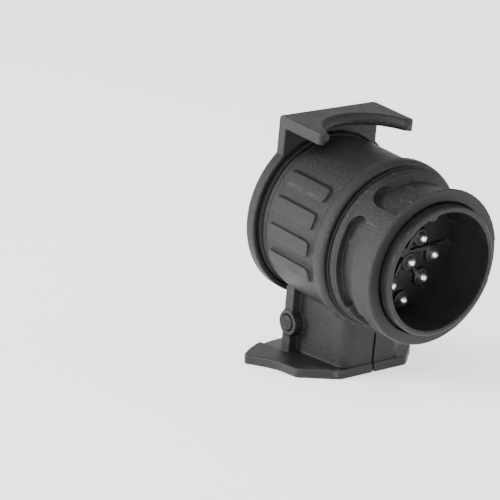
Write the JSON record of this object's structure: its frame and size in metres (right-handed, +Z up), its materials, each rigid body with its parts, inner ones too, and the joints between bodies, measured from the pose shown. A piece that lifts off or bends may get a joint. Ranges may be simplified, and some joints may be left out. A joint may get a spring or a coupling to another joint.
{
  "type": "trailer wiring adapter",
  "caption": "Short round 13-pin to 7-pin trailer wiring adapter with a bayonet sleeve, a hinged hook lid and a pillar on a flat foot.",
  "frame": {"origin": "centre of the bounding box on the ground plane under the foot", "axes": "+Z up from the flat foot; +Y towards the 7-pin mouth and lid, the barrel axis rising 7.7 degrees that way; +X to the right seen from the 13-pin nose"},
  "size_m": [0.0458, 0.0626, 0.0658],
  "materials": {
    "moulded_black": "fine-grained moulded glass-filled nylon",
    "insert_black": "smooth moulded",
    "rubber_black": "matt",
    "nickel": "bright nickel plate",
    "brass_contact": "drawn, with a nickel-plated rim",
    "brass_link": "stamped strip",
    "steel_pin": "blackened",
    "spring_steel": "drawn wire and stamped strip"
  },
  "bodies": {
    "housing_body": {"housing": "moulded_black", "bayonet_sleeve": "moulded_black", "sleeve_seal": "rubber_black", "mouth_ring": "moulded_black", "retaining_ring": "spring_steel", "hinge_pin": "steel_pin", "pin_clip": "spring_steel", "hinge_spring": "spring_steel"},
    "lid_body": {"lid": "moulded_black", "lid_gasket": "rubber_black"},
    "core_body": {"plug_shroud": "moulded_black", "plug_insert": "insert_black", "socket_insert": "insert_black", "core_seal": "rubber_black", "plug_pin_1": "nickel", "plug_pin_2": "nickel", "plug_pin_3": "nickel", "plug_pin_4": "nickel", "plug_pin_5": "nickel", "plug_pin_6": "nickel", "plug_pin_7": "nickel", "plug_pin_8": "nickel", "socket_tube_1": "brass_contact", "socket_tube_2": "brass_contact", "socket_tube_3": "brass_contact", "socket_tube_4": "brass_contact", "socket_pin_1": "nickel", "socket_pin_2": "nickel", "socket_pin_3": "nickel", "link_1": "brass_link", "link_2": "brass_link", "link_3": "brass_link", "link_4": "brass_link", "link_5": "brass_link", "link_6": "brass_link", "link_7": "brass_link"}
  },
  "joints": [
    {"name": "lid_hinge", "type": "hinge", "parent": "housing_body", "child": "lid_body", "pos_m": [0, 0.01663, 0.01062], "axis": [-1, 0, 0], "range_deg": [0, 95], "stiffness_Nm_per_rad": 0.01, "springref_deg": -28.65, "deforming": ["hinge_spring"]},
    {"name": "core_twist", "type": "hinge", "parent": "housing_body", "child": "core_body", "pos_m": [0, -0.00975, 0.0348], "axis": [0, -0.991, -0.134], "range_deg": [0, 90]}
  ]
}
